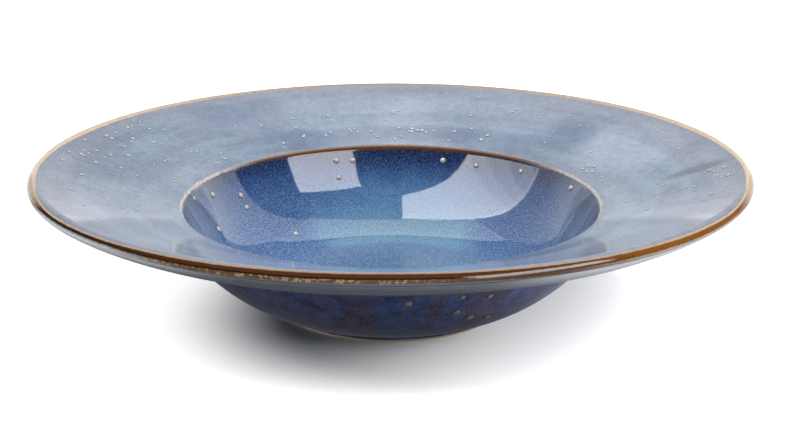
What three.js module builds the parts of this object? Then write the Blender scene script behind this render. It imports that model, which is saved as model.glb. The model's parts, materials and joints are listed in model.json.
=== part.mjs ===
// A deep plate of thrown stoneware: a broad rising rim round a steep well, on a low foot ring.
// The clay body is one turned solid. Each glaze lies on it as a thin coat of its own.
// Millimetres, +Z up, the plate's axis on Z and the foot ring standing on Z = 0.
import * as THREE from 'three';

// Lip: the rolled outer edge, measured on the clay.
const lipRadius = 139.6;
const lipHeight = 57.4;
const lipRise = 2.0;
const lipCrestInset = 4.5;
const lipBlend = 2.5;
const lipUndercutReach = 17.5;
const lipUndercutEase = 6.8;
const lipNoseEase = 1.0;

// Rim and well edge: the rim's straight top runs down to the corner where the well begins.
const wellRadius = 83.15;
const wellEdgeHeight = 42.35;
const wellEdgeRound = 1.6;
const rimThickness = 7;

// Inside of the well.
const wallTopAngle = 64.5;
const wallTopEase = 20;
const wallFootEase = 23;
const floorRadius = 41.4;
const floorThickness = 5.1;

// Outside of the bowl, from the foot ring up to the rim. Its top is set off from the well's wall.
const wallThickness = 5.5;
const bowlTopDrop = 9.6;
const bowlTopAngle = 55.4;
const bowlLowAngle = 18;
const bowlLowEase = 16;
const bowlTopEase = 16;
const shoulderReach = 10;

// Foot ring and the recess inside it.
const footRadius = 46.2;
const footWidth = 5.4;
const footHeight = 2.9;
const footFlare = 0.9;
const footRound = 0.5;
const recessHeight = 3;
const recessRound = 1.4;
const footGlazeLine = 1.4;

// Coats.
const glazeThickness = 0.45;
const bondGap = 0.05;
const seamGap = 0.2;

// Straight lines that stand in for a full turn, and for each curve of the section.
const turnSegments = 56;
const recessSteps = 2;
const bowlSteps = 5;
const shoulderSteps = 3;
const undercutSteps = 4;
const noseSteps = 4;
const crestSteps = 2;
const wellEdgeSteps = 3;
const wallSteps = 7;

// Two points of the section closer than this are one point.
const samePoint = 1e-6;

const finishes = {
  clay: { color: 0xb8a88c, roughness: 0.85 },
  slateBlue: { color: 0x46506c, roughness: 0.3 },
  darkBlue: { color: 0x2c3352, roughness: 0.25 },
  greyBlue: { color: 0x5c626e, roughness: 0.3 },
  ironBrown: { color: 0x67401f, roughness: 0.3 },
  paleBlue: { color: 0xa6acbb, roughness: 0.25 },
  lightBrown: { color: 0x86593b, roughness: 0.3 },
  cobalt: { color: 0x24386c, roughness: 0.2 },
};

const point = (radius, height) => new THREE.Vector2(radius, height);
const degrees = (angle) => THREE.MathUtils.degToRad(angle);

// The point at a distance from another, at an angle above the horizontal, outwards.
const along = (from, angle, distance) =>
  point(from.x + distance * Math.cos(angle), from.y + distance * Math.sin(angle));

// Where the line through a at one angle crosses the line through b at another.
function crossing(a, angleA, b, angleB) {
  const gap = b.clone().sub(a);
  const across = Math.sin(angleB - angleA);
  const distance = (gap.x * Math.sin(angleB) - gap.y * Math.cos(angleB)) / across;
  return along(a, angleA, distance);
}

// Chains curves and points end to end, without repeating the point where two meet.
function chain(...stretches) {
  const points = [];
  for (const next of stretches.flat()) {
    const last = points.at(-1);
    if (!last || last.distanceTo(next) > samePoint) {
      points.push(next);
    }
  }
  return points;
}

// Section of the clay, taken anticlockwise: out along the underside, up and back over the top.

// Recess inside the foot ring.
const footInnerRadius = footRadius - footWidth;
const recessGlazeEnd = point(footInnerRadius - footRound, footGlazeLine);
const recessCorner = point(recessGlazeEnd.x, recessHeight);
const recessRounding = new THREE.QuadraticBezierCurve(
  point(recessCorner.x - recessRound, recessHeight),
  recessCorner,
  recessGlazeEnd,
);
const recessZone = chain([point(0, recessHeight)], recessRounding.getPoints(recessSteps));

// Bare standing ring.
const footLean = footFlare / (footHeight - footRound);
const footGlazeStart = point(footRadius + footLean * (footGlazeLine - footRound), footGlazeLine);
const footZone = [
  point(footInnerRadius - footRound, footRound),
  point(footInnerRadius, 0),
  point(footRadius - footRound, 0),
  point(footRadius, footRound),
];

// Rim: a straight top from the well's corner to the lip, and an underside parallel to it.
const lipCrest = point(lipRadius - lipCrestInset, lipHeight + lipRise);
const wellCorner = point(wellRadius, wellEdgeHeight);
const crestCorner = point(lipCrest.x - lipBlend / 2, lipCrest.y);
const rimAngle = crestCorner.clone().sub(wellCorner).angle();
const rimTopEnd = along(crestCorner, rimAngle, -lipBlend / 2);
const underCorner = along(wellCorner, rimAngle - Math.PI / 2, rimThickness);
const rimUnderAt = (radius) =>
  point(radius, underCorner.y + (radius - underCorner.x) * Math.tan(rimAngle));

// Outside of the bowl, curving from the foot ring to the rim's underside.
const wallAngle = degrees(wallTopAngle);
const bowlStart = point(footRadius + footFlare, footHeight);
const bowlEnd = along(
  along(wellCorner, wallAngle, -bowlTopDrop),
  wallAngle - Math.PI / 2,
  wallThickness,
);
const bowlCurve = new THREE.CubicBezierCurve(
  bowlStart,
  along(bowlStart, degrees(bowlLowAngle), bowlLowEase),
  along(bowlEnd, degrees(bowlTopAngle), -bowlTopEase),
  bowlEnd,
);
const shoulderEnd = rimUnderAt(bowlEnd.x + shoulderReach);
const shoulderCurve = new THREE.QuadraticBezierCurve(
  bowlEnd,
  crossing(bowlEnd, degrees(bowlTopAngle), shoulderEnd, rimAngle),
  shoulderEnd,
);
const bowlZone = chain(
  [footGlazeStart],
  bowlCurve.getPoints(bowlSteps),
  shoulderCurve.getPoints(shoulderSteps),
);

// Underside of the rim, curving up to the lip's widest point.
const lipNose = point(lipRadius, lipHeight);
const undercutStart = rimUnderAt(lipRadius - lipUndercutReach);
const undercutCurve = new THREE.CubicBezierCurve(
  undercutStart,
  along(undercutStart, rimAngle, lipUndercutEase),
  point(lipNose.x, lipNose.y - lipNoseEase),
  lipNose,
);
const rimUnderZone = chain([shoulderEnd], undercutCurve.getPoints(undercutSteps));

// Rolled lip: a quarter ellipse over the nose, then a blend into the rim's straight top.
const noseCurve = new THREE.EllipseCurve(
  lipCrest.x,
  lipHeight,
  lipCrestInset,
  lipRise,
  0,
  Math.PI / 2,
);
const crestCurve = new THREE.QuadraticBezierCurve(lipCrest, crestCorner, rimTopEnd);
const lipZone = chain(noseCurve.getPoints(noseSteps), crestCurve.getPoints(crestSteps));

// Rounded edge where the rim turns down into the well.
const wellEdgeStart = along(wellCorner, rimAngle, wellEdgeRound);
const wellEdgeEnd = along(wellCorner, wallAngle, -wellEdgeRound);
const wellEdgeCurve = new THREE.QuadraticBezierCurve(wellEdgeStart, wellCorner, wellEdgeEnd);
const rimZone = [rimTopEnd, wellEdgeStart];
const wellEdgeZone = wellEdgeCurve.getPoints(wellEdgeSteps);

// Wall of the well, easing into the flat floor.
const floorHeight = recessHeight + floorThickness;
const floorEdge = point(floorRadius, floorHeight);
const wallCurve = new THREE.CubicBezierCurve(
  wellEdgeEnd,
  along(wellEdgeEnd, wallAngle, -wallTopEase),
  point(floorEdge.x + wallFootEase, floorHeight),
  floorEdge,
);
const wellZone = chain(wallCurve.getPoints(wallSteps), [point(0, floorHeight)]);

const bodySection = chain(
  recessZone,
  footZone,
  bowlZone,
  rimUnderZone,
  lipZone,
  rimZone,
  wellEdgeZone,
  wellZone,
);

// Pulls the two ends of a stretch of the section in along its first and last lines.
function shortened(points, startBy, endBy) {
  const result = points.map((p) => p.clone());
  const last = result.length - 1;
  const towards = (from, to, distance) =>
    from.clone().add(to.clone().sub(from).setLength(distance));
  if (startBy > 0) {
    result[0] = towards(points[0], points[1], startBy);
  }
  if (endBy > 0) {
    result[last] = towards(points[last], points[last - 1], endBy);
  }
  return result;
}

// The stretch moved off the clay by one distance everywhere, its corners mitred.
function lifted(points, distance) {
  const outward = (a, b) => point(b.y - a.y, a.x - b.x).normalize();
  return points.map((here, index) => {
    const before = points[Math.max(index - 1, 0)];
    const after = points[Math.min(index + 1, points.length - 1)];
    const normalIn = index > 0 ? outward(before, here) : outward(here, after);
    const normalOut = index < points.length - 1 ? outward(here, after) : normalIn;
    const bisector = normalIn.clone().add(normalOut).normalize();
    return here.clone().addScaledVector(bisector, distance / bisector.dot(normalIn));
  });
}

// Section of a coat: its outer face along the stretch, then back along its bonded face.
function coatSection(zone, startBy, endBy) {
  const stretch = shortened(zone, startBy, endBy);
  const face = lifted(stretch, bondGap + glazeThickness);
  const bonded = lifted(stretch, bondGap).reverse();
  if (face.at(-1).x === 0) {
    return [...bonded, ...face];
  }
  return face[0].x === 0 ? [...face, ...bonded] : [...face, ...bonded, face[0].clone()];
}

function turned(name, section, finish) {
  const geometry = new THREE.LatheGeometry(section, turnSegments);
  geometry.rotateX(Math.PI / 2);
  const mesh = new THREE.Mesh(geometry, new THREE.MeshStandardMaterial({ ...finish, metalness: 0 }));
  mesh.name = name;
  return mesh;
}

const seam = seamGap / 2;
const plate = new THREE.Group();
plate.name = 'deep_plate';
plate.add(
  turned('stoneware_body', bodySection, finishes.clay),
  turned('recess_glaze', coatSection(recessZone, 0, 0), finishes.slateBlue),
  turned('bowl_glaze', coatSection(bowlZone, 0, seam), finishes.darkBlue),
  turned('rim_underside_glaze', coatSection(rimUnderZone, seam, seam), finishes.greyBlue),
  turned('lip_band', coatSection(lipZone, seam, seam), finishes.ironBrown),
  turned('rim_glaze', coatSection(rimZone, seam, seam), finishes.paleBlue),
  turned('well_edge_band', coatSection(wellEdgeZone, seam, seam), finishes.lightBrown),
  turned('well_glaze', coatSection(wellZone, seam, 0), finishes.cobalt),
);

export default plate;
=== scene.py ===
import json
import math
import random

import bpy
import numpy as np
from bpy.props import FloatProperty, FloatVectorProperty, IntProperty, PointerProperty
from mathutils import Matrix, Vector

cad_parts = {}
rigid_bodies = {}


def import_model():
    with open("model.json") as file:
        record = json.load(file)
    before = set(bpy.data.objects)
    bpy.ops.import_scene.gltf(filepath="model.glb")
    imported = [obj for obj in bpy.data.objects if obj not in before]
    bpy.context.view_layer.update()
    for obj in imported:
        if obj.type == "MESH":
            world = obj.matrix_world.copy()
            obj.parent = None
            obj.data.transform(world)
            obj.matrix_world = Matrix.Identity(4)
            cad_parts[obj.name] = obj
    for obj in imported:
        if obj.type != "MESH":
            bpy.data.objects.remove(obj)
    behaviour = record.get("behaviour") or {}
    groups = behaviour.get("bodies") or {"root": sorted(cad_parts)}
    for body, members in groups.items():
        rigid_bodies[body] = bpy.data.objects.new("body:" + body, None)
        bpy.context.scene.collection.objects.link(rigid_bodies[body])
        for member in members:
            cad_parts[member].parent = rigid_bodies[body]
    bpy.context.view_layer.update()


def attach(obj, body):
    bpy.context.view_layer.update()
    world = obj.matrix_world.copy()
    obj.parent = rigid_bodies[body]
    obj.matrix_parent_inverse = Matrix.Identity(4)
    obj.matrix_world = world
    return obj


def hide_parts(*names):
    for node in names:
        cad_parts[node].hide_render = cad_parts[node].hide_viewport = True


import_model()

bl_info = {
    "name": "Deep plate",
    "version": (1, 0, 0),
    "blender": (4, 5, 0),
    "location": "3D View > Sidebar > Deep plate",
    "description": "Builds a glazed stoneware deep plate over its solid model, with a studio round it",
    "category": "Object",
}

MM = 0.001
BODY = "root"

# Nearer than these, in metres, a point of the section is on the axis, and two points are one.
AXIS_REACH = 1e-6
SAME_POINT = 1e-7
SHARP_ANGLE = math.radians(40)

# Points along a short straight stretch of the section, and along the rim.
STRAIGHT_POINTS = 9
RIM_POINTS = 41

GLAZE_IOR = 1.52
SENSOR_WIDTH = 36
FLOOR_SIDES = 96


# Properties


def length(name, description, millimetres):
    """A length, its default given in millimetres."""
    return FloatProperty(
        name=name, description=description, default=millimetres * MM, unit="LENGTH", precision=5
    )


def angle(name, description, degrees):
    """An angle, its default given in degrees."""
    return FloatProperty(
        name=name, description=description, default=math.radians(degrees), subtype="ANGLE"
    )


def colour(name, description, *linear):
    """A surface colour, linear."""
    return FloatVectorProperty(
        name=name, description=description, default=linear, subtype="COLOR", min=0, max=1
    )


def number(name, description, value):
    """A plain number."""
    return FloatProperty(name=name, description=description, default=value)


def count(name, description, value, least=1):
    """A whole number."""
    return IntProperty(name=name, description=description, default=value, min=least)


def point(name, description, *metres):
    """A point of the scene."""
    return FloatVectorProperty(
        name=name, description=description, default=metres, subtype="TRANSLATION", unit="LENGTH"
    )


class PlateSizes(bpy.types.PropertyGroup):
    """The clay's section and the coats on it."""

    lip_radius: length("Lip radius", "Widest radius of the clay", 139.6)
    lip_height: length("Lip height", "Height of the widest point", 57.2)
    lip_rise: length("Lip rise", "From the widest point up to the crest's corner", 3.0)
    lip_crest_inset: length("Crest inset", "From the widest point in to the crest's corner", 2.0)
    lip_blend: length("Lip blend", "Length of the crest's rounding each way", 1.3)
    lip_lean: angle("Lip lean", "How steeply the lip's outer face leaves the crest", 45)
    undercut_reach: length("Undercut reach", "From the lip in to where the undercut starts", 17.5)
    undercut_ease: length("Undercut ease", "How far the undercut keeps the rim's slope", 6.8)
    nose_ease: length("Nose ease", "How far the lip's outer face stays upright", 1.4)
    well_radius: length("Well radius", "Radius of the corner where the well begins", 83.15)
    well_edge_height: length("Well edge height", "Height of that corner", 42.35)
    well_edge_round: length("Well edge rounding", "Length of the rounding each way", 1.6)
    rim_thickness: length("Rim thickness", "Clay between the rim's two faces", 7)
    wall_angle: angle("Wall angle", "Slope of the well's wall at its top", 64.5)
    wall_top_ease: length("Wall top ease", "How far the wall keeps its top slope", 20)
    wall_foot_ease: length("Wall foot ease", "How far the wall's foot stays level", 23)
    floor_radius: length("Floor radius", "Flat middle of the well", 41.4)
    floor_thickness: length("Floor thickness", "Clay under the flat middle", 5.1)
    wall_thickness: length("Wall thickness", "Clay between the well and the outside", 5.5)
    bowl_top_drop: length("Bowl top drop", "From the well's corner down to the outside's top", 9.6)
    bowl_top_angle: angle("Bowl top angle", "Slope of the outside at its top", 55.4)
    bowl_top_ease: length("Bowl top ease", "How far the outside keeps its top slope", 16)
    bowl_low_angle: angle("Bowl low angle", "Slope of the outside above the foot", 18)
    bowl_low_ease: length("Bowl low ease", "How far the outside keeps its low slope", 16)
    shoulder_reach: length("Shoulder reach", "From the outside's top to the rim's underside", 10)
    foot_radius: length("Foot radius", "Outer radius of the foot ring", 46.2)
    foot_width: length("Foot width", "Width of the foot ring", 5.4)
    foot_height: length("Foot height", "Height of the foot ring", 2.9)
    foot_flare: length("Foot flare", "How much wider the ring is at its top", 0.9)
    foot_round: length("Foot rounding", "Bevel of the standing face", 0.5)
    recess_height: length("Recess height", "Depth of the hollow inside the ring", 3)
    recess_round: length("Recess rounding", "Rounding of the hollow's corner", 1.4)
    foot_glaze_line: length("Glaze line", "Height of the bare clay on the ring", 1.4)
    glaze_thickness: length("Glaze thickness", "Thickness of each coat", 0.45)
    bond_gap: length("Bond gap", "Between a coat and the clay", 0.05)
    seam_gap: length("Seam gap", "Between neighbouring coats", 0.01)
    turns: count("Turns", "Flat strips in a full turn", 256, 64)


class GlazeColours(bpy.types.PropertyGroup):
    """Colours of the clay and of the glazes."""

    clay: colour("Clay", "Bare fired clay of the foot ring", 0.52, 0.42, 0.29)
    rim_denim: colour("Rim denim", "Main colour of the rim", 0.155, 0.182, 0.24)
    rim_cyan: colour("Rim cyan", "Pale streaks of the rim", 0.185, 0.24, 0.30)
    rim_lavender: colour("Rim lavender", "Towards the lip", 0.185, 0.192, 0.235)
    # Also used for painted sheen on the rim, behind and in front.
    rim_pale: colour("Rim pale", "Thin glaze on the rim", 0.255, 0.295, 0.36)
    # Also used to darken the rim beside the well, in front as a painted reflection of the well.
    rim_dark: colour("Rim dark", "Thick glaze on the rim", 0.085, 0.115, 0.185)
    rim_smudge: colour("Rim smudge", "Grey smudge on the right of the rim", 0.11, 0.115, 0.13)
    lip_tan: colour("Lip tan", "Thin glaze on the lip's crest", 0.32, 0.25, 0.18)
    lip_brown: colour("Lip brown", "Iron-brown glaze on the lip's nose", 0.065, 0.020, 0.006)
    # Painted light: a lit copy of the lip's brown, used on its right.
    lip_brown_lit: colour("Lip amber", "The same glaze on the right, thinner", 0.17, 0.062, 0.010)
    lip_shade: colour("Lip shade", "Left of the lip, below the nose", 0.04, 0.04, 0.035)
    # Painted reflection of the bright floor, on the lip's lower edge and the underside beside it.
    lip_floor_reflection: colour("Lip fade", "Pale lower edge of the lip's sides", 0.55, 0.56, 0.57)
    lip_ochre: colour("Lip ochre", "Thin glaze under the lip's nose", 0.115, 0.066, 0.032)
    lip_gold: colour("Lip gold", "Flecks in the ochre", 0.40, 0.27, 0.13)
    lip_black: colour("Lip black", "Specks and line below the nose", 0.012, 0.008, 0.006)
    edge_brown: colour("Edge brown", "Iron-brown line at the well's edge", 0.08, 0.028, 0.009)
    # Painted highlight on the well's edge line.
    edge_painted_highlight: colour("Edge tan", "That line on the plate's two sides", 0.5, 0.45, 0.38)
    well_navy: colour("Well navy", "Top of the well's wall", 0.004, 0.011, 0.055)
    well_cobalt: colour("Well cobalt", "Upper half of the wall", 0.011, 0.038, 0.15)
    well_blue: colour("Well blue", "Lower half of the wall", 0.06, 0.155, 0.32)
    well_turquoise: colour("Well turquoise", "Pooled glaze at the wall's foot", 0.085, 0.18, 0.275)
    well_indigo: colour("Well indigo", "Thick glaze on the well's sides", 0.03, 0.075, 0.205)
    well_floor: colour("Well floor", "Flat middle of the well", 0.042, 0.09, 0.18)
    well_speck: colour("Well speck", "Pale crystals in the well's glaze", 0.25, 0.38, 0.50)
    bowl_blue: colour("Bowl blue", "Outside of the bowl", 0.038, 0.065, 0.165)
    bowl_violet: colour("Bowl violet", "Brownish runs on the outside", 0.062, 0.052, 0.10)
    bowl_speck: colour("Bowl speck", "Pale crystals on the outside", 0.085, 0.11, 0.22)
    underside_grey: colour("Underside grey", "Glaze under the rim", 0.125, 0.135, 0.16)
    recess_slate: colour("Recess slate", "Glaze inside the foot ring", 0.05, 0.065, 0.13)
    blister_cream: colour("Blister cream", "Crown of a blister", 0.40, 0.37, 0.32)
    blister_tan: colour("Blister tan", "Crown of a blister on the outside", 0.20, 0.16, 0.12)
    blister_pale: colour("Blister pale", "Crown of a pimple on the rim", 0.30, 0.34, 0.37)
    # Partly the blister's own dark ring, partly its painted shadow.
    blister_foot_and_shadow: colour("Blister edge", "Foot of a blister", 0.05, 0.04, 0.045)


class BlisterSettings(bpy.types.PropertyGroup):
    """Small blisters that stand proud of the glaze."""

    seed: count("Seed", "Start of the scatter", 7)
    rim_count: count("Rim count", "Single pimples scattered on the rim", 90)
    sides: count("Sides", "Sides of one blister", 14, 6)
    well_radius: length("Well blister", "Radius of a blister in the well", 1.55)
    rim_radius: length("Rim pimple", "Radius of a pimple on the rim", 1.0)
    bowl_radius: length("Outside blister", "Radius of a blister on the outside", 1.6)


class StudioSettings(bpy.types.PropertyGroup):
    """Camera, lights and floor."""

    camera_place: point("Camera place", "Where the camera stands", 0, -0.54023, 0.20513)
    camera_aim: point("Camera aim", "Middle of the picture", 0.0039, 0, 0.0365)
    lens: number("Lens", "Focal length in millimetres", 63.35)
    key_radiance: number("Key", "Brightness of the softboxes", 8)
    tent_radiance: number("Tent", "Brightness of the white tent behind the plate", 2)
    tent_height: length("Tent height", "Height of the tent's walls", 1300)
    strips: count("Strips", "Strips in a light that varies with height", 12)
    fill_radiance: number("Fill", "Brightness of the lights that shade the plate", 4)
    wash_radiance: number("Wash", "Brightness of the lights on the floor alone", 17)
    room_light: number("Room", "Light of the dark room all round", 0.08)
    floor_radius: length("Floor radius", "Size of the floor", 6000)


# The section of the plate


def bezier(*controls, steps):
    """Points along a Bezier curve of any degree."""
    share = np.linspace(0, 1, steps + 1)[:, None, None]
    points = np.array(controls, float)[None]
    while points.shape[1] > 1:
        points = points[:, :-1] * (1 - share) + points[:, 1:] * share
    return points[:, 0]


def away(start, heading, distance):
    """The point at a distance from another, at an angle above the horizontal, outwards."""
    return np.array(start) + distance * np.array((math.cos(heading), math.sin(heading)))


def crossing(a, heading_a, b, heading_b):
    """Where the line through a at one angle crosses the line through b at another."""
    gap = b - a
    reach = gap[0] * math.sin(heading_b) - gap[1] * math.cos(heading_b)
    return away(a, heading_a, reach / math.sin(heading_b - heading_a))


def clay_zones(s):
    """The clay's section in stretches, out along the underside, up and back over the top."""
    # Recess and bare standing ring.
    inner = s.foot_radius - s.foot_width - s.foot_round
    recess_corner = np.array((inner, s.recess_height))
    recess_end = (inner, s.foot_glaze_line)
    rounding = bezier(recess_corner - (s.recess_round, 0), recess_corner, recess_end, steps=6)
    recess = np.vstack([(0, s.recess_height), rounding])
    foot = np.array(
        [
            (inner, s.foot_round),
            (inner + s.foot_round, 0),
            (s.foot_radius - s.foot_round, 0),
            (s.foot_radius, s.foot_round),
        ]
    )

    # Rim: a straight top from the well's corner to the lip's crest, and an underside parallel to it.
    crest = np.array((s.lip_radius - s.lip_crest_inset, s.lip_height + s.lip_rise))
    corner = np.array((s.well_radius, s.well_edge_height))
    rise = crest - corner
    rim_angle = math.atan2(rise[1], rise[0])
    rim_end = away(crest, rim_angle, -s.lip_blend)
    under_corner = away(corner, rim_angle - math.pi / 2, s.rim_thickness)

    def rim_under(radius):
        return np.array((radius, under_corner[1] + (radius - under_corner[0]) * math.tan(rim_angle)))

    # Outside of the bowl, curving from the foot ring to the rim's underside.
    foot_lean = s.foot_flare / (s.foot_height - s.foot_round)
    glaze_start = (
        s.foot_radius + foot_lean * (s.foot_glaze_line - s.foot_round),
        s.foot_glaze_line,
    )
    bowl_start = np.array((s.foot_radius + s.foot_flare, s.foot_height))
    bowl_end = away(
        away(corner, s.wall_angle, -s.bowl_top_drop), s.wall_angle - math.pi / 2, s.wall_thickness
    )
    shoulder_end = rim_under(bowl_end[0] + s.shoulder_reach)
    outside = bezier(
        bowl_start,
        away(bowl_start, s.bowl_low_angle, s.bowl_low_ease),
        away(bowl_end, s.bowl_top_angle, -s.bowl_top_ease),
        bowl_end,
        steps=36,
    )
    shoulder_corner = crossing(bowl_end, s.bowl_top_angle, shoulder_end, rim_angle)
    shoulder = bezier(bowl_end, shoulder_corner, shoulder_end, steps=16)
    bowl = np.vstack([glaze_start, outside, shoulder[1:]])

    # Underside of the rim, up to the lip's widest point, and the lip over it.
    nose = np.array((s.lip_radius, s.lip_height))
    undercut_start = rim_under(s.lip_radius - s.undercut_reach)
    straight = np.linspace(shoulder_end, undercut_start, STRAIGHT_POINTS)
    undercut = bezier(
        undercut_start,
        away(undercut_start, rim_angle, s.undercut_ease),
        nose - (0, s.nose_ease),
        nose,
        steps=20,
    )
    underside = np.vstack([straight[:-1], undercut])
    face_top = away(crest, -s.lip_lean, s.lip_blend)
    face_corner = crossing(crest, -s.lip_lean, nose, math.pi / 2)
    face = bezier(nose, face_corner, face_top, steps=16)
    crown = bezier(face_top, crest, rim_end, steps=12)
    lip = np.vstack([face, crown[1:]])

    # Rounded edge of the well, its wall and its flat floor.
    edge_start = away(corner, rim_angle, s.well_edge_round)
    edge_end = away(corner, s.wall_angle, -s.well_edge_round)
    floor_height = s.recess_height + s.floor_thickness
    floor_edge = (s.floor_radius, floor_height)
    wall = bezier(
        edge_end,
        away(edge_end, s.wall_angle, -s.wall_top_ease),
        (s.floor_radius + s.wall_foot_ease, floor_height),
        floor_edge,
        steps=48,
    )
    floor = np.linspace(floor_edge, (0, floor_height), STRAIGHT_POINTS)[1:]
    return {
        "recess": recess,
        "foot": foot,
        "bowl": bowl,
        "underside": underside,
        "lip": lip,
        "rim": np.linspace(rim_end, edge_start, RIM_POINTS),
        "edge": bezier(edge_start, corner, edge_end, steps=12),
        "well": np.vstack([wall, floor]),
    }


def lifted(points, distance):
    """A stretch moved off the clay by one distance everywhere, its corners mitred."""
    run = np.diff(points, axis=0)
    normal = np.stack([run[:, 1], -run[:, 0]], axis=1)
    normal /= np.linalg.norm(normal, axis=1, keepdims=True)
    before = np.vstack([normal[:1], normal])
    after = np.vstack([normal, normal[-1:]])
    bisector = before + after
    bisector /= np.linalg.norm(bisector, axis=1, keepdims=True)
    return points + bisector * distance / np.sum(bisector * before, axis=1, keepdims=True)


def shortened(points, start_by, end_by):
    """A stretch with its two ends drawn in along its first and last lines."""
    result = points.copy()
    first, last = points[1] - points[0], points[-2] - points[-1]
    result[0] += first / np.linalg.norm(first) * start_by
    result[-1] += last / np.linalg.norm(last) * end_by
    return result


def on_axis(point):
    """Whether a point of the section lies on the plate's axis."""
    return point[0] < AXIS_REACH


def coat_section(zone, s):
    """Section of a coat: its outer face along the stretch, then back along its bonded face."""
    seam = s.seam_gap / 2
    gaps = [0 if on_axis(end) else seam for end in (zone[0], zone[-1])]
    stretch = shortened(zone, *gaps)
    face = lifted(stretch, s.bond_gap + s.glaze_thickness)
    bonded = lifted(stretch, s.bond_gap)[::-1]
    return np.vstack([bonded, face] if on_axis(face[-1]) else [face, bonded])


def turned(name, section, turns):
    """A closed mesh made by turning a section about the axis."""
    around = np.linspace(0, 2 * math.pi, turns, endpoint=False)
    ring = np.stack([np.cos(around), np.sin(around)], axis=1)
    vertices, rings = [], []
    for point in section:
        start = len(vertices)
        if on_axis(point):
            vertices.append((0, 0, point[1]))
            rings.append([start] * turns)
        else:
            vertices.extend((x, y, point[1]) for x, y in ring * point[0])
            rings.append(list(range(start, start + turns)))
    if not (on_axis(section[0]) or on_axis(section[-1])):
        rings.append(rings[0])
    faces = []
    for low, high in zip(rings, rings[1:]):
        for here in range(turns):
            there = (here + 1) % turns
            corners = [low[here], low[there], high[there], high[here]]
            face = list(dict.fromkeys(corners))
            if len(face) > 2:
                faces.append(face)
    return finished(name, vertices, faces)


def finished(name, vertices, faces):
    """A named object from vertices and faces, smooth but for its sharp edges."""
    mesh = bpy.data.meshes.new(name)
    mesh.from_pydata(vertices, [], faces)
    mesh.shade_smooth()
    mesh.set_sharp_from_angle(angle=SHARP_ANGLE)
    piece = bpy.data.objects.new(name, mesh)
    bpy.context.scene.collection.objects.link(piece)
    return piece


def place(piece, material, node, slot):
    """Gives a piece its material and its body, and hides the solid that it stands for, if any. The
    slot is not used.
    """
    piece.data.materials.append(material)
    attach(piece, BODY)
    if node:
        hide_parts(node)


# Shader nodes


class Shade:
    """A shader socket that takes part in Python sums. Each sum adds its Math node."""

    def __init__(self, paint, socket):
        self.paint = paint
        self.socket = socket

    def maths(self, operation, *operands):
        sockets = dict(enumerate(operands))
        return self.paint.add("ShaderNodeMath", {"operation": operation}, sockets)

    def __add__(self, other):
        return self.maths("ADD", self, other)

    __radd__ = __add__

    def __sub__(self, other):
        return self.maths("SUBTRACT", self, other)

    def __rsub__(self, other):
        return self.maths("SUBTRACT", other, self)

    def __mul__(self, other):
        return self.maths("MULTIPLY", self, other)

    __rmul__ = __mul__

    def __truediv__(self, other):
        return self.maths("DIVIDE", self, other)

    def __pow__(self, other):
        return self.maths("POWER", self, other)

    def __abs__(self):
        return self.maths("ABSOLUTE", self)

    def sine(self):
        return self.maths("SINE", self)

    def step(self, low, high):
        """Rises smoothly from 0 at low to 1 at high. With low above high it falls."""
        return self.paint.add(
            "ShaderNodeMapRange",
            {"interpolation_type": "SMOOTHSTEP"},
            {"Value": self, "From Min": low, "From Max": high},
        )


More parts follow.
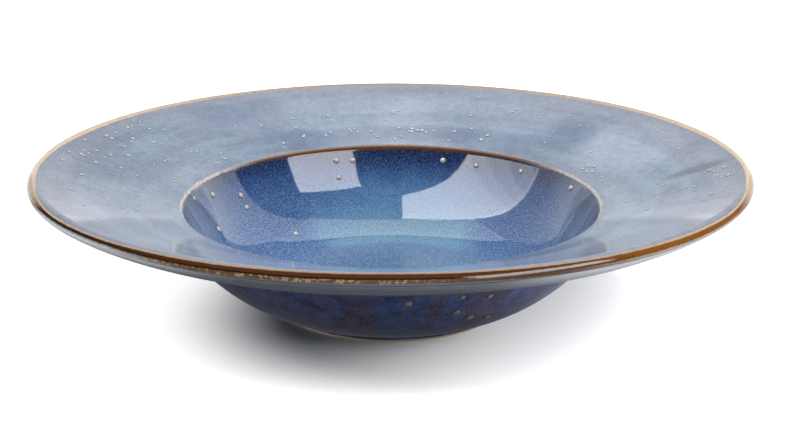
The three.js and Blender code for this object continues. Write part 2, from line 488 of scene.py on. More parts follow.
class Paint:
    """A material under construction, with the plate's own coordinates, in millimetres, at hand."""

    MIX_FACTOR, MIX_A, MIX_B, MIX_RESULT = 0, 6, 7, 2

    def __init__(self, name):
        self.material = bpy.data.materials.new(name)
        self.material.use_nodes = True
        self.tree = self.material.node_tree
        self.tree.nodes.clear()
        metres = self.add("ShaderNodeTexCoord", output="Object")
        self.at = self.shaded(metres, 1 / MM)
        split = self.add("ShaderNodeSeparateXYZ", {}, {0: self.at}).socket.node
        self.x, self.y, self.z = (Shade(self, socket) for socket in split.outputs)
        self.radius = self.off(0, 0)
        self.sideways = self.x / self.radius
        self.sizes = bpy.context.scene.plate_sizes

    def add(self, kind, settings=None, sockets=None, output=0):
        """Adds a node: its settings first, then its sockets' values or links."""
        node = self.tree.nodes.new(kind)
        for setting, value in (settings or {}).items():
            setattr(node, setting, value)
        for socket, value in (sockets or {}).items():
            if isinstance(value, Shade):
                self.tree.links.new(value.socket, node.inputs[socket])
            else:
                node.inputs[socket].default_value = value
        return Shade(self, node.outputs[output]) if node.outputs else None

    def mix(self, share, a, b):
        """Two colours mixed, all a where the share is 0 and all b where it is 1."""

        def socket(value):
            return value if isinstance(value, Shade) else (*value, 1)

        return self.add(
            "ShaderNodeMix",
            {"data_type": "RGBA"},
            {self.MIX_FACTOR: share, self.MIX_A: socket(a), self.MIX_B: socket(b)},
            output=self.MIX_RESULT,
        )

    def shaded(self, colour, amount):
        """A colour or a vector times an amount."""
        return self.add(
            "ShaderNodeVectorMath", {"operation": "SCALE"}, {0: colour, "Scale": amount}
        )

    def noise(self, size, detail=2, roughness=0.5, along=None):
        """Cloudy noise from 0 to 1, its blobs about this many millimetres across."""
        kind = {"Scale": 1 / size, "Detail": detail, "Roughness": roughness}
        return self.add("ShaderNodeTexNoise", {}, {"Vector": along or self.at, **kind})

    def swept(self, around, across, rise=0.0):
        """Coordinates that stretch noise round the plate or down its sides.

        Blobs of size 1 then cover `around` radians of a turn and `across` millimetres of radius."""
        return self.add(
            "ShaderNodeCombineXYZ",
            {},
            {
                "X": self.sideways / around,
                "Y": self.y / self.radius / around,
                "Z": self.radius / across + self.z * rise,
            },
        )

    def off(self, x, y):
        """Distance from a line that stands upright at x and y."""
        sideways, along = self.x - x, self.y - y
        return (sideways * sideways + along * along) ** 0.5

    def spot(self, bearing, radius, wide, deep):
        """1 at a place on the plate, falling to 0 at its edge.

        The bearing runs clockwise from behind the plate, seen from above."""
        sine, cosine = math.sin(math.radians(bearing)), math.cos(math.radians(bearing))
        sideways = (self.x * cosine - self.y * sine) / wide
        outward = (self.x * sine + self.y * cosine - radius) / deep
        return 1 - (sideways * sideways + outward * outward) ** 0.5

    def glazed(self, colour, roughness, height):
        """Ends the material with this colour, roughness and relief, the height in millimetres."""
        bump = self.add(
            "ShaderNodeBump", {}, {"Strength": 1.0, "Distance": MM, "Height": height}, "Normal"
        )
        surface = self.add(
            "ShaderNodeBsdfPrincipled",
            {},
            {"Base Color": colour, "Roughness": roughness, "IOR": GLAZE_IOR, "Normal": bump},
        )
        self.add("ShaderNodeOutputMaterial", {}, {"Surface": surface})
        return self.material


# Glazes


def ripple(p):
    """Slow waves of a hand-dipped glaze, in millimetres."""
    return p.noise(14, 1) * 0.02 + p.noise(5, 1) * 0.006


def ring_wave(p):
    """The fine turning rings of the rim, from -1 to 1."""
    pitch = 1.15
    drift = p.noise(30, 1) * 5
    return (p.radius * (2 * math.pi / pitch) + drift).sine()


def rim_paint(p, c):
    """Pale denim glaze with streaks round the plate, thick dark patches and fine rings."""
    streaks = p.noise(1, 3, 0.55, along=p.swept(0.55, 9))
    bands = p.noise(1, 2, 0.5, along=p.swept(1.4, 14))
    cloud = p.noise(26, 3, 0.55)
    mottle = p.noise(3.5, 3, 0.6)
    grain = p.noise(0.6, 2, 0.7)
    paint = p.mix(streaks.step(0.42, 0.66), c.rim_denim, c.rim_cyan)
    paint = p.mix(cloud.step(0.5, 0.72) * 0.45, paint, c.rim_pale)
    paint = p.mix(cloud.step(0.48, 0.28) * 0.4, paint, c.rim_dark)

    # Pale glaze on the right and at the two sides. Behind and in front it is painted sheen, lightening
    # the rim where it mirrors the bright tent.
    behind = p.y.step(40, 110)
    pale_right = p.spot(66, 114, 36, 28).step(0.0, 0.5)
    paint = p.mix(behind * p.radius.step(92, 122) * 0.5, paint, c.rim_pale)
    paint = p.mix(pale_right * 0.9, paint, c.rim_pale)
    beside = abs(p.sideways).step(0.7, 0.95) * p.radius.step(112, 90)
    painted_front_sheen = p.y.step(-10, -60) * p.radius.step(96, 108)
    paint = p.mix(beside * 0.35 + painted_front_sheen * 0.3, paint, c.rim_pale)

    # Darker beside the well, behind and in front; in front it is a painted reflection of the dark top
    # of the well's wall. A lavender cast towards the lip.
    beside_well = p.radius.step(104, 90)
    in_front = p.y.step(-60, -85)
    paint = p.mix(beside_well * (behind * 0.7 + in_front * 0.85), paint, c.rim_dark)
    near_lip = (p.radius + (bands - 0.5) * 20).step(116, 134)
    paint = p.mix(near_lip * 0.6, paint, c.rim_lavender)

    # Dark patches with wandering outlines.
    wander = (cloud - 0.5) * 1.6 + (mottle - 0.5) * 0.5
    right_patch = (p.spot(47, 107, 18, 15) + wander * 1.4).step(0.05, 0.6)
    left_patch = (p.spot(-36, 121, 36, 14) + wander).step(0.0, 0.8)
    smudge = (p.spot(91, 122, 5, 17) + wander * 0.6).step(0.0, 0.6)
    paint = p.mix(right_patch * 0.5, paint, c.rim_dark)
    paint = p.mix(left_patch * 0.45, paint, c.rim_dark)
    paint = p.mix(smudge * 0.7, paint, c.rim_smudge)
    paint = p.mix(bands.step(0.55, 0.75) * 0.3, paint, c.rim_dark)
    # Painted shade: the rim is darkened on its left, where less light falls than on the right.
    painted_shade_left = p.x.step(-40, -100) * p.y.step(-30, 20) * 0.1
    return p.shaded(paint, 0.35 + mottle * 0.5 + grain * 0.8 + ring_wave(p) * 0.06 - painted_shade_left)


def lip_reach(p):
    """How far round the lip a place lies, in millimetres: 0 on its crest, about 4 at its nose."""
    s = p.sizes
    ragged = p.noise(2, 3) - 0.5
    outward = p.radius - (s.lip_radius - s.lip_crest_inset) / MM
    downward = (s.lip_height + s.lip_rise) / MM - p.z
    return outward * 0.9 + downward * 0.7 + ragged * 0.5


def lip_lap(p):
    """The same, moved so that the lip's colours start further round in front and sooner behind."""
    sideways = abs(p.sideways) * p.y.step(-30, -80)
    behind = p.y.step(-60, 60)
    return lip_reach(p) - sideways * 2.5 + behind * 1.6


def lip_share(p):
    """Where the glaze of the lip covers that of the rim: 0 on the rim, 1 on the lip."""
    return lip_lap(p).step(-0.9, -0.5)


def lip_paint(p, c):
    """Tan crest, then round the front a brown nose, a black band, ochre and the underside's grey."""
    mottle = p.noise(3, 3)
    in_front = p.y.step(-45, -70)
    left = p.sideways.step(-0.45, -0.75) * in_front
    right = p.sideways.step(0.3, 0.65) * in_front

    # Tan crest, brown nose in front and brown outer face behind.
    # Painted sheen: the tan is lighter at the two sides and darker behind and in front.
    tan = p.shaded(c.lip_tan, 0.78 + p.sideways * p.sideways * 0.62)
    # Painted shade and light: the brown is darker on the left, and on the right a lit amber copy of
    # it.
    brown = p.mix(right, p.shaded(c.lip_brown, 1 - left * 0.35), c.lip_brown_lit)
    paint = p.mix(lip_lap(p).step(-0.05, 0.3) * in_front, tan, brown)
    at_back = p.y.step(-20, 40)
    paint = p.mix(lip_reach(p).step(1.4, 2.2) * at_back, paint, c.lip_brown)

    # Black band below the nose, broken by the mottling.
    low = lip_reach(p) - abs(p.sideways) * 1.6 + left * 0.6
    band = low.step(1.7, 2.1) * in_front * (1 - right)
    paint = p.mix(band * mottle.step(0.2, 0.45), paint, c.lip_black)

    # Below it ochre with gold flecks; on the left a dark glaze that pales downwards, a painted
    # reflection of the bright floor; on the right tan, painted light on the lower edge.
    flecks = p.noise(1.4, 2).step(0.5, 0.66)
    ochre = p.mix(p.x.step(0, 70) * 0.7, c.lip_ochre, c.lip_brown)
    ochre = p.mix(flecks * p.x.step(30, 0) * 0.8, ochre, c.lip_gold)
    below = p.mix(left, ochre, p.mix(low.step(2.2, 3.6), c.lip_shade, c.lip_floor_reflection))
    paint = p.mix(low.step(2.4, 2.6) * in_front * (1 - right), paint, below)
    paint = p.mix(low.step(2.6, 2.8) * right, paint, tan)
    grey = low.step(3.5, 3.8) * in_front * (1 - left)
    paint = p.mix(grey, paint, c.underside_grey)
    return p.shaded(paint, 0.75 + mottle * 0.5)


def edge_share(p):
    """Where the brown line at the well's edge covers the glazes beside it."""
    line_radius, line_height, line_width = 83.2, 42.3, 1.5
    ragged = (p.noise(1.8, 3) - 0.5) * 0.9
    outside = (p.radius - line_radius) / line_width
    below = (line_height - p.z) / line_width
    sideways = abs(p.sideways).step(0.4, 0.9)
    off = (outside * outside + below * below) ** 0.5 + ragged + sideways * 0.45
    return off.step(1.1, 0.65)


def edge_paint(p, c):
    """Iron-brown line with a painted tan highlight, faint on its crown and strong on the plate's two
    sides.
    """
    mottle = p.noise(2.5, 3)
    crown = p.z.step(42.2, 42.9)
    sideways = abs(p.sideways).step(0.7, 0.97)
    paint = p.mix(crown * 0.1 + 0.75 * sideways, c.edge_brown, c.edge_painted_highlight)
    return p.shaded(paint, 0.7 + mottle * 0.6)


def well_paint(p, c):
    """Cobalt wall that pales downwards to a turquoise pool, with pale crystals all over."""
    runs = p.noise(1, 2, 0.5, along=p.swept(0.22, 60))
    cloud = p.noise(22, 2)
    height = p.z + (runs - 0.5) * 9 + (cloud - 0.5) * 7
    paint = p.mix(height.step(41, 33), c.well_navy, c.well_cobalt)
    pool = (p.spot(4, 56, 46, 44) + (cloud - 0.5) * 0.8).step(0.0, 0.6)
    low = p.mix(pool, c.well_indigo, c.well_blue)
    paint = p.mix(height.step(38, 24), paint, low)
    paint = p.mix(height.step(22, 11) * pool, paint, c.well_turquoise)
    floor = (p.radius + (cloud - 0.5) * 5).step(49, 42)
    paint = p.mix(floor, paint, c.well_floor)
    sideways = abs(p.sideways).step(0.84, 0.98) * p.z.step(16, 30)
    paint = p.mix(sideways * 0.5, paint, c.rim_denim)
    grain = p.noise(0.55, 2, 0.8)
    specks = grain.step(0.47, 0.66)
    dark = p.shaded(paint, 0.5 + grain * 0.8)
    return p.mix(specks * (0.23 + 0.3 * height.step(40, 15)), dark, c.well_speck)


def bowl_paint(p, c):
    """Dark blue with violet-brown runs and mottling."""
    runs = p.noise(1, 3, 0.55, along=p.swept(0.12, 50, 0.01))
    mottle = p.noise(6, 3)
    grain = p.noise(0.9, 2, 0.8)
    paint = p.mix(runs.step(0.42, 0.62), c.bowl_blue, c.bowl_violet)
    paint = p.shaded(paint, 0.2 + mottle.step(0.2, 0.75) * 0.9 + grain.step(0.35, 0.7) * 0.6)
    return p.mix(grain.step(0.5, 0.68) * mottle * 0.7, paint, c.bowl_speck)


def underside_paint(p, c):
    """Thin grey glaze, blue towards the bowl, with a painted reflection of the bright floor beside the
    lip on the front's two sides.
    """
    mottle = p.noise(5, 3)
    rings = (p.noise(1, 2, 0.5, along=p.swept(0.9, 3)) - 0.5) * 0.5
    paint = p.mix(p.radius.step(110, 93), c.underside_grey, c.bowl_blue)
    paint = p.shaded(paint, 0.75 + mottle * 0.5 + rings)
    # Painted reflection of the bright floor, beside the lip on the front's two sides.
    beside = abs(p.sideways + 0.06).step(0.25, 0.55) * p.y.step(-35, -60)
    return p.mix(beside * p.z.step(49.5, 56), paint, c.lip_floor_reflection)


def roughness_of(p, base):
    """Glaze gloss with faint dull clouds."""
    return base + p.noise(9, 2).step(0.45, 0.8) * 0.03


def clay_material(c):
    p = Paint("bare_clay")
    grain = p.noise(0.6, 3, 0.7)
    cloud = p.noise(8, 2)
    paint = p.shaded(p.mix(cloud * 0.4, c.clay, c.lip_tan), 0.8 + grain * 0.4)
    return p.glazed(paint, 0.75 + grain * 0.2, grain * 0.06)


def rim_material(c):
    p = Paint("rim_glaze_denim")
    paint = p.mix(lip_share(p), rim_paint(p, c), lip_paint(p, c))
    paint = p.mix(edge_share(p), paint, edge_paint(p, c))
    return p.glazed(paint, roughness_of(p, 0.07), ripple(p) + ring_wave(p) * 0.0012)


def lip_material(c):
    p = Paint("lip_band_brown")
    paint = p.mix(lip_share(p), rim_paint(p, c), lip_paint(p, c))
    return p.glazed(paint, roughness_of(p, 0.09), ripple(p) + p.noise(1.5, 2) * 0.02)


def edge_material(c):
    p = Paint("well_edge_brown")
    beside = p.mix(p.radius.step(83.4, 82.9), rim_paint(p, c), well_paint(p, c))
    paint = p.mix(edge_share(p), beside, edge_paint(p, c))
    return p.glazed(paint, roughness_of(p, 0.08), ripple(p) + p.noise(1.5, 2) * 0.015)


def well_material(c):
    p = Paint("well_glaze_cobalt")
    paint = p.mix(edge_share(p), well_paint(p, c), edge_paint(p, c))
    floor = p.radius.step(48, 40)
    return p.glazed(paint, roughness_of(p, 0.04) + floor * 0.22, ripple(p) * 2.5)


def bowl_material(c):
    p = Paint("bowl_glaze_dark_blue")
    return p.glazed(bowl_paint(p, c), roughness_of(p, 0.1), ripple(p) * 2)


def underside_material(c):
    p = Paint("rim_underside_grey")
    return p.glazed(underside_paint(p, c), roughness_of(p, 0.12), ripple(p) * 2)


def recess_material(c):
    p = Paint("recess_glaze_slate")
    mottle = p.noise(5, 3)
    paint = p.shaded(p.mix(mottle.step(0.4, 0.7), c.recess_slate, c.bowl_blue), 0.7 + mottle * 0.6)
    return p.glazed(paint, roughness_of(p, 0.12), ripple(p) * 2)


def blister_material(c, name, crown_colour):
    p = Paint(name)
    crown = p.add("ShaderNodeAttribute", {"attribute_name": "crown"}, output="Fac")
    grain = p.noise(0.4, 2)
    # The dark foot is partly the blister's own dark ring and partly its painted shadow.
    paint = p.mix(crown.step(0.25, 0.6), c.blister_foot_and_shadow, crown_colour)
    return p.glazed(p.shaded(paint, 0.8 + grain * 0.4), 0.12 + grain * 0.1, grain * 0.02)


# Blisters

# Reach and rise of each ring of a blister, in blister radii, and how far up its crown it lies.
DOME_RINGS = ((1.0, -0.25, 0.0), (1.0, 0.02, 0.1), (0.78, 0.2, 0.5), (0.45, 0.34, 0.9))

# Shares of its set radius between which a blister's radius varies.
SIZE_SPREAD = (0.75, 1.15)

# Bearing in degrees and radius in millimetres of the blisters that stand alone.
WELL_BLISTERS = (
    (-57, 77.2),
    (-57, 74.2),
    (-78, 73),
    (-43, 61),
    (-18, 80.4),
    (-12.6, 80.2),
    (-18, 76.7),
    (-70, 79.7),
    (-82, 81.2),
    (17, 80.3),
    (28.5, 80),
    (45, 80.5),
    (69, 80.8),
)
BOWL_BLISTERS = (
    (176, 83.5),
    (163, 84.5),
    (155.5, 83.5),
    (163, 78.5),
    (158, 74.5),
    (151.5, 72.3),
)

# Bearing and radius of each cluster of rim pimples, its spread round and across, and its count.
RIM_CLUSTERS = (
    (-76, 124, 9, 8, 26),
    (-14, 95, 8, 3.5, 12),
    (8, 95.5, 5, 2.5, 8),
    (20, 95.5, 6, 2.5, 6),
    (66, 90.5, 4, 2, 8),
    (99, 130, 7, 5, 12),
)

# Bearings and radii between which single pimples lie, their share of a cluster's size,
# and the radii beyond which none is kept.
STRAY_BEARINGS = (-115, 115)
STRAY_RADII = (88, 131)
STRAY_SIZE = 0.8
PIMPLE_LIMITS = (86, 132)


def surface(face, radius):
    """Height and outward normal of a coat's face at a radius."""
    order = np.argsort(face[:, 0])
    height = np.interp(radius, face[order, 0], face[order, 1])
    index = int(np.argmin(np.abs((face[1:, 0] + face[:-1, 0]) / 2 - radius)))
    run = face[index + 1] - face[index]
    normal = np.array((run[1], -run[0])) / np.linalg.norm(run)
    return height, normal


def dome(vertices, faces, crowns, centre, normal, size, sides):
    """Adds one closed blister: a low dome whose foot is sunk in the glaze."""
    out = Vector(normal)
    side = out.orthogonal().normalized()
    other = out.cross(side)
    start = len(vertices)
    for reach, rise, crown in DOME_RINGS:
        for index in range(sides):
            turn = 2 * math.pi * index / sides
            spread = side * math.cos(turn) + other * math.sin(turn)
            vertices.append(centre + (spread * reach + out * rise) * size)
            crowns.append(crown)
    for level in range(len(DOME_RINGS) - 1):
        low, high = start + level * sides, start + (level + 1) * sides
        for index in range(sides):
            following = (index + 1) % sides
            faces.append((low + index, low + following, high + following, high + index))
    top = start + (len(DOME_RINGS) - 1) * sides
    faces.append(tuple(range(top, top + sides)))
    faces.append(tuple(reversed(range(start, start + sides))))


def blister_piece(name, face, places, sides):
    """One object of blisters on a coat's face. Each place is a bearing, a radius and a size."""
    vertices, faces, crowns = [], [], []
    for bearing, radius, size in places:
        height, normal = surface(face, radius)
        sine, cosine = math.sin(math.radians(bearing)), math.cos(math.radians(bearing))
        centre = Vector((radius * sine, radius * cosine, height))
        out = (normal[0] * sine, normal[0] * cosine, normal[1])
        dome(vertices, faces, crowns, centre, out, size, sides)
    piece = finished(name, vertices, faces)
    attribute = piece.data.attributes.new("crown", "FLOAT", "POINT")
    attribute.data.foreach_set("value", crowns)
    return piece


# Operators


class PlateOperator:
    """What the operators share."""

    bl_options = {"REGISTER", "UNDO"}


class CoatOperator(PlateOperator):
    """Turns the coat of one zone of the clay and sets it in the place of its solid."""

    def execute(self, context):
        scene = context.scene
        sizes = scene.plate_sizes
        section = coat_section(clay_zones(sizes)[self.zone], sizes)
        piece = turned(self.node + "_visual", section, sizes.turns)
        place(piece, self.material(scene.plate_colours), self.node, self.node)
        return {"FINISHED"}


class PLATE_OT_body(PlateOperator, bpy.types.Operator):
    """Turn the clay body, bare on its foot ring"""

    bl_idname = "plate.body"
    bl_label = "Clay body"

    def execute(self, context):
        scene = context.scene
        section = np.vstack(list(clay_zones(scene.plate_sizes).values()))
        apart = np.linalg.norm(np.diff(section, axis=0), axis=1) > SAME_POINT
        section = section[np.concatenate([[True], apart])]
        piece = turned("stoneware_body_visual", section, scene.plate_sizes.turns)
        place(piece, clay_material(scene.plate_colours), "stoneware_body", "stoneware")
        return {"FINISHED"}


class PLATE_OT_rim(CoatOperator, bpy.types.Operator):
    """Lay the pale glaze on the rim"""

    bl_idname = "plate.rim"
    bl_label = "Rim glaze"
    node = "rim_glaze"
    zone = "rim"
    material = staticmethod(rim_material)


class PLATE_OT_lip(CoatOperator, bpy.types.Operator):
    """Lay the brown band over the lip"""

    bl_idname = "plate.lip"
    bl_label = "Lip band"
    node = "lip_band"
    zone = "lip"
    material = staticmethod(lip_material)


class PLATE_OT_underside(CoatOperator, bpy.types.Operator):
    """Lay the grey glaze under the rim"""

    bl_idname = "plate.underside"
    bl_label = "Rim underside glaze"
    node = "rim_underside_glaze"
    zone = "underside"
    material = staticmethod(underside_material)


class PLATE_OT_edge(CoatOperator, bpy.types.Operator):
    """Lay the brown line on the well's edge"""

    bl_idname = "plate.edge"
    bl_label = "Well edge band"
    node = "well_edge_band"
    zone = "edge"
    material = staticmethod(edge_material)


class PLATE_OT_well(CoatOperator, bpy.types.Operator):
    """Lay the cobalt glaze in the well"""

    bl_idname = "plate.well"
    bl_label = "Well glaze"
    node = "well_glaze"
    zone = "well"
    material = staticmethod(well_material)


class PLATE_OT_bowl(CoatOperator, bpy.types.Operator):
    """Lay the dark glaze on the outside of the bowl"""

    bl_idname = "plate.bowl"
    bl_label = "Bowl glaze"
    node = "bowl_glaze"
    zone = "bowl"
    material = staticmethod(bowl_material)


class PLATE_OT_recess(CoatOperator, bpy.types.Operator):
    """Lay the glaze inside the foot ring"""

    bl_idname = "plate.recess"
    bl_label = "Recess glaze"
    node = "recess_glaze"
    zone = "recess"
    material = staticmethod(recess_material)


class PLATE_OT_blisters(PlateOperator, bpy.types.Operator):
    """Raise the blisters of the glazes"""

    bl_idname = "plate.blisters"
    bl_label = "Blisters"

    def execute(self, context):
        scene = context.scene
        sizes, settings = scene.plate_sizes, scene.plate_blisters
        zones = clay_zones(sizes)
        chance = random.Random(settings.seed)

        def varied(radius):
            return radius * chance.uniform(*SIZE_SPREAD)

        def face(zone):
            return lifted(zones[zone], sizes.bond_gap + sizes.glaze_thickness)

        well = [(b, r * MM, varied(settings.well_radius)) for b, r in WELL_BLISTERS]
        bowl = [(b, r * MM, varied(settings.bowl_radius)) for b, r in BOWL_BLISTERS]
        rim = []
        for bearing, radius, around, across, count in RIM_CLUSTERS:
            for _ in range(count):
                spot = (chance.gauss(bearing, around), chance.gauss(radius, across) * MM)
                rim.append((*spot, varied(settings.rim_radius)))
        for _ in range(settings.rim_count):
            spot = (chance.uniform(*STRAY_BEARINGS), chance.uniform(*STRAY_RADII) * MM)
            rim.append((*spot, varied(settings.rim_radius) * STRAY_SIZE))
        least, most = PIMPLE_LIMITS
        rim = [spot for spot in rim if least * MM < spot[1] < most * MM]

        c = scene.plate_colours
        cream = blister_material(c, "blister_cream", c.blister_cream)
        tan = blister_material(c, "blister_tan", c.blister_tan)
        pale = blister_material(c, "blister_pale", c.blister_pale)
        for name, zone, places, slot, material in (
            ("well_blisters", "well", well, "well_glaze", cream),
            ("bowl_blisters", "bowl", bowl, "bowl_glaze", tan),
            ("rim_pimples", "rim", rim, "rim_glaze", pale),
        ):
            piece = blister_piece(name, face(zone), places, settings.sides)
            place(piece, material, None, slot)
        return {"FINISHED"}


# Studio


def panel_axes(bearing, elevation):
    """Right, up and back of a panel whose back is turned to a bearing and an elevation.

    Both are in degrees. The bearing runs clockwise from behind the plate, seen from above."""
    a, e = math.radians(bearing), math.radians(elevation)
    back = Vector((math.sin(a) * math.cos(e), math.cos(a) * math.cos(e), math.sin(e)))
    right = Vector((0, 0, 1)).cross(back).normalized()
    return right, back.cross(right), back


def panel_light(name, centre, bearing, elevation, width, height, radiance):
    """A rectangular light, out of the camera's sight, with its back turned as panel_axes says."""
    data = bpy.data.lights.new(name, "AREA")
    data.shape = "RECTANGLE"
    data.size = width
    data.size_y = height
    data.energy = radiance * width * height * math.pi
    light = bpy.data.objects.new(name, data)
    turn = Matrix(panel_axes(bearing, elevation)).transposed().to_4x4()
    light.matrix_world = Matrix.Translation(centre) @ turn
    light.visible_camera = False
    bpy.context.scene.collection.objects.link(light)
    return light


def strip_lights(name, centre, bearing, elevation, width, height, radiances):
    """The strips of one rectangular light, each of its own brightness, the lowest first."""
    up = panel_axes(bearing, elevation)[1]
    depth = height / len(radiances)
    for index, radiance in enumerate(radiances):
        middle = Vector(centre) + up * (index + 0.5 - len(radiances) / 2) * depth
        strip = f"{name}_{index}"
        yield panel_light(strip, middle, bearing, elevation, width, depth, radiance)


def linked(name, *objects, state="EXCLUDE"):
    """A collection that keeps a light off some objects, or for them alone."""
    collection = bpy.data.collections.new(name)
    for index, member in enumerate(objects):
        collection.objects.link(bpy.data.objects[member])
        collection.collection_objects[index].light_linking.link_state = state
    return collection


def only_mirrored(light, receivers):
    """Lets a light show in the glazes without shading anything."""
    light.visible_diffuse = False
    light.light_linking.receiver_collection = receivers


def only_shading(light, receivers):
    """Lets a light shade what it falls on without showing in the glazes."""
    light.visible_glossy = False
    light.light_linking.receiver_collection = receivers


def floor_disc(name, radius, depth, grey, glow):
    """A round, matt floor below the plate. The glow makes the colour of its own light."""
    turn = [2 * math.pi * index / FLOOR_SIDES for index in range(FLOOR_SIDES)]
    corners = [(radius * math.cos(a), radius * math.sin(a), -depth) for a in turn]
    floor = finished(name, corners, [tuple(range(FLOOR_SIDES))])
    p = Paint(name + "_matt")
    surface = p.add(
        "ShaderNodeBsdfPrincipled",
        {},
        {
            "Base Color": (grey, grey, grey, 1),
            "Roughness": 0.9,
            "Specular IOR Level": 0.0,
            "Emission Color": glow(p),
            "Emission Strength": 1.0,
        },
    )
    p.add("ShaderNodeOutputMaterial", {}, {"Surface": surface})
    floor.data.materials.append(p.material)
    return floor


def white_afar(p):
    """Glow of the seen floor: none round the plate's foot, pure white farther off."""
    return p.mix(p.off(30, -10).step(70, 130), (0, 0, 0), (1, 1, 1))


def lit_on_the_right(p):
    """Glow of the mirrored floor: in shade round the plate, most on its left, and lit farther off."""
    lit = p.off(-45, -20).step(75, 175)
    return p.mix(lit, (0.07, 0.07, 0.08), (0.6, 0.62, 0.68))


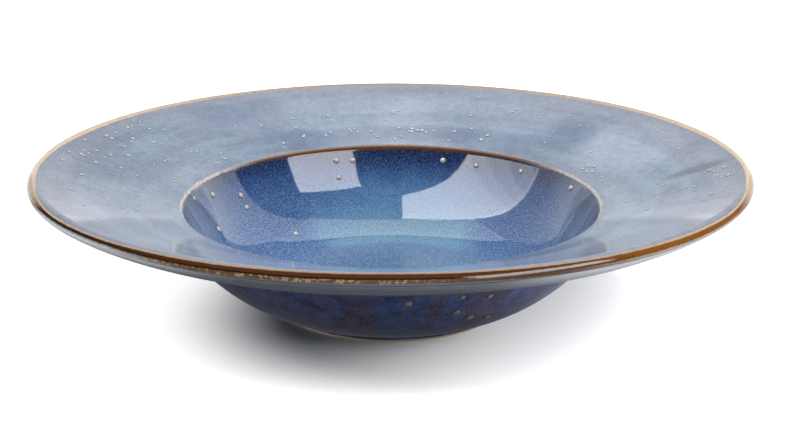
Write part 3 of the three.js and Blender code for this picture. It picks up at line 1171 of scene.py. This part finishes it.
class PLATE_OT_studio(PlateOperator, bpy.types.Operator):
    """Set up the floors, the lights and the camera"""

    bl_idname = "plate.studio"
    bl_label = "Studio"

    def execute(self, context):
        scene = context.scene
        s = scene.plate_studio
        self.floors(s)
        self.mirrored_lights(s)
        self.shading_lights(s)
        self.camera(scene, s)
        world = bpy.data.worlds.new("dark_room")
        world.use_nodes = True
        background = world.node_tree.nodes["Background"]
        background.inputs["Color"].default_value = (0.9, 0.95, 1, 1)
        background.inputs["Strength"].default_value = s.room_light
        scene.world = world
        scene.view_settings.view_transform = "Standard"
        return {"FINISHED"}

    def floors(self, s):
        """The floor that the camera sees, and just below it the one that the plate mirrors."""
        seen = floor_disc("studio_floor", s.floor_radius, 0.05 * MM, 0.8, white_afar)
        seen.visible_diffuse = False
        seen.visible_glossy = False
        mirrored = floor_disc("bounce_floor", s.floor_radius, 0.1 * MM, 0.1, lit_on_the_right)
        mirrored.visible_camera = False

    def mirrored_lights(self, s):
        """Two softboxes and a white tent behind the plate, which the glazes mirror."""
        lip = ("lip_band_visual", "rim_underside_glaze_visual")
        rim = ("rim_glaze_visual", "rim_pimples")
        lip_excepted = linked("lip_excepted", *lip)
        rim_excepted = linked("rim_excepted", *lip, *rim, "well_edge_band_visual")
        top_excepted = linked("top_excepted", *rim)

        # Name, centre, bearing and elevation of the back, width, height, brightness, receivers.
        key, tent = s.key_radiance, s.tent_radiance
        panels = (
            ("right_softbox", (0.657, -0.506, 0.775), 151.3, 22.8, 0.74, 0.36, key, top_excepted),
            ("tent_roof", (0, 0.7, 1.35), 0, 89, 1.5, 1.0, tent, lip_excepted),
        )
        for *shape, receivers in panels:
            only_mirrored(panel_light(*shape), receivers)

        # The left softbox is dim at its foot and brightens upwards.
        foot, climb = 0.25, 1.9
        shares = [(index + 0.5) / s.strips for index in range(s.strips)]
        radiances = [key * min(1, foot + climb * share) for share in shares]
        centre = (-0.583, -0.211, 0.842)
        for strip in strip_lights("left_softbox", centre, -85.7, 46.7, 0.81, 1.33, radiances):
            only_mirrored(strip, rim_excepted)

        # Name, place, bearing and width of the tent's walls, their steady light,
        # the light that fades upwards, and their receivers.
        walls = (
            ("tent_left", (-0.75, 0.69), -90, 1.06, 0.45, 0.5, lip_excepted),
            ("tent_right", (0.72, 0.73), 90, 0.94, 0.75, 0.35, lip_excepted),
            ("tent_back", (0, 1.22), 0, 1.5, 0.1, 0.4, None),
        )
        kept = 0.65
        for name, (x, y), bearing, width, steady, fading, receivers in walls:
            middle = (x, y, s.tent_height / 2)
            radiances = [tent * (steady + fading * kept**index) for index in range(s.strips)]
            for strip in strip_lights(name, middle, bearing, 0, width, s.tent_height, radiances):
                only_mirrored(strip, receivers)

    def shading_lights(self, s):
        """Fills that shade the plate alone, and washes that shade the floor alone."""
        fill, wash = s.fill_radiance, s.wash_radiance
        all_but_floor = linked("all_but_floor", "studio_floor")
        only_floor = linked("floor_only", "studio_floor", state="INCLUDE")

        # Name, centre, bearing and elevation of the back, width, height, brightness, receivers.
        panels = (
            ("overhead_fill", (0.25, 0.35, 1.5), 0, 89, 2.4, 2.4, fill, all_but_floor),
            ("right_fill", (1.3, -0.5, 0.25), 111, 10, 1.0, 0.5, fill * 2.2, all_but_floor),
            ("left_fill", (-1.3, -0.3, 0.25), -103, 10, 1.0, 0.5, fill * 1.4, all_but_floor),
            ("front_wash", (0.657, -0.506, 0.775), 151.3, 42, 0.74, 0.6, wash, only_floor),
            ("right_wash", (1.2, -0.3, 0.4), 104, 18, 1.2, 0.6, wash * 0.8, only_floor),
        )
        for *shape, receivers in panels:
            only_shading(panel_light(*shape), receivers)

    def camera(self, scene, s):
        """The camera at the photo's angle."""
        data = bpy.data.cameras.new("camera")
        data.sensor_width = SENSOR_WIDTH
        data.lens = s.lens
        camera = bpy.data.objects.new("camera", data)
        camera.location = s.camera_place
        aim = Vector(s.camera_aim) - Vector(s.camera_place)
        camera.rotation_euler = aim.to_track_quat("-Z", "Y").to_euler()
        scene.collection.objects.link(camera)
        scene.camera = camera


class PLATE_PT_panel(bpy.types.Panel):
    """Lists the steps that build the plate"""

    bl_label = "Deep plate"
    bl_idname = "PLATE_PT_panel"
    bl_space_type = "VIEW_3D"
    bl_region_type = "UI"
    bl_category = "Deep plate"

    def draw(self, context):
        for step in STEPS:
            self.layout.operator(step.bl_idname)


SETTINGS = {
    "plate_sizes": PlateSizes,
    "plate_colours": GlazeColours,
    "plate_blisters": BlisterSettings,
    "plate_studio": StudioSettings,
}
STEPS = (
    PLATE_OT_body,
    PLATE_OT_rim,
    PLATE_OT_lip,
    PLATE_OT_underside,
    PLATE_OT_edge,
    PLATE_OT_well,
    PLATE_OT_bowl,
    PLATE_OT_recess,
    PLATE_OT_blisters,
    PLATE_OT_studio,
)
CLASSES = (*SETTINGS.values(), *STEPS, PLATE_PT_panel)


def register():
    for cls in CLASSES:
        bpy.utils.register_class(cls)
    for name, group in SETTINGS.items():
        setattr(bpy.types.Scene, name, PointerProperty(type=group))


def unregister():
    for name in SETTINGS:
        delattr(bpy.types.Scene, name)
    for cls in reversed(CLASSES):
        bpy.utils.unregister_class(cls)


def main():
    register()
    bpy.ops.plate.body()
    bpy.ops.plate.rim()
    bpy.ops.plate.lip()
    bpy.ops.plate.underside()
    bpy.ops.plate.edge()
    bpy.ops.plate.well()
    bpy.ops.plate.bowl()
    bpy.ops.plate.recess()
    bpy.ops.plate.blisters()
    bpy.ops.plate.studio()


if __name__ == "__main__":
    main()
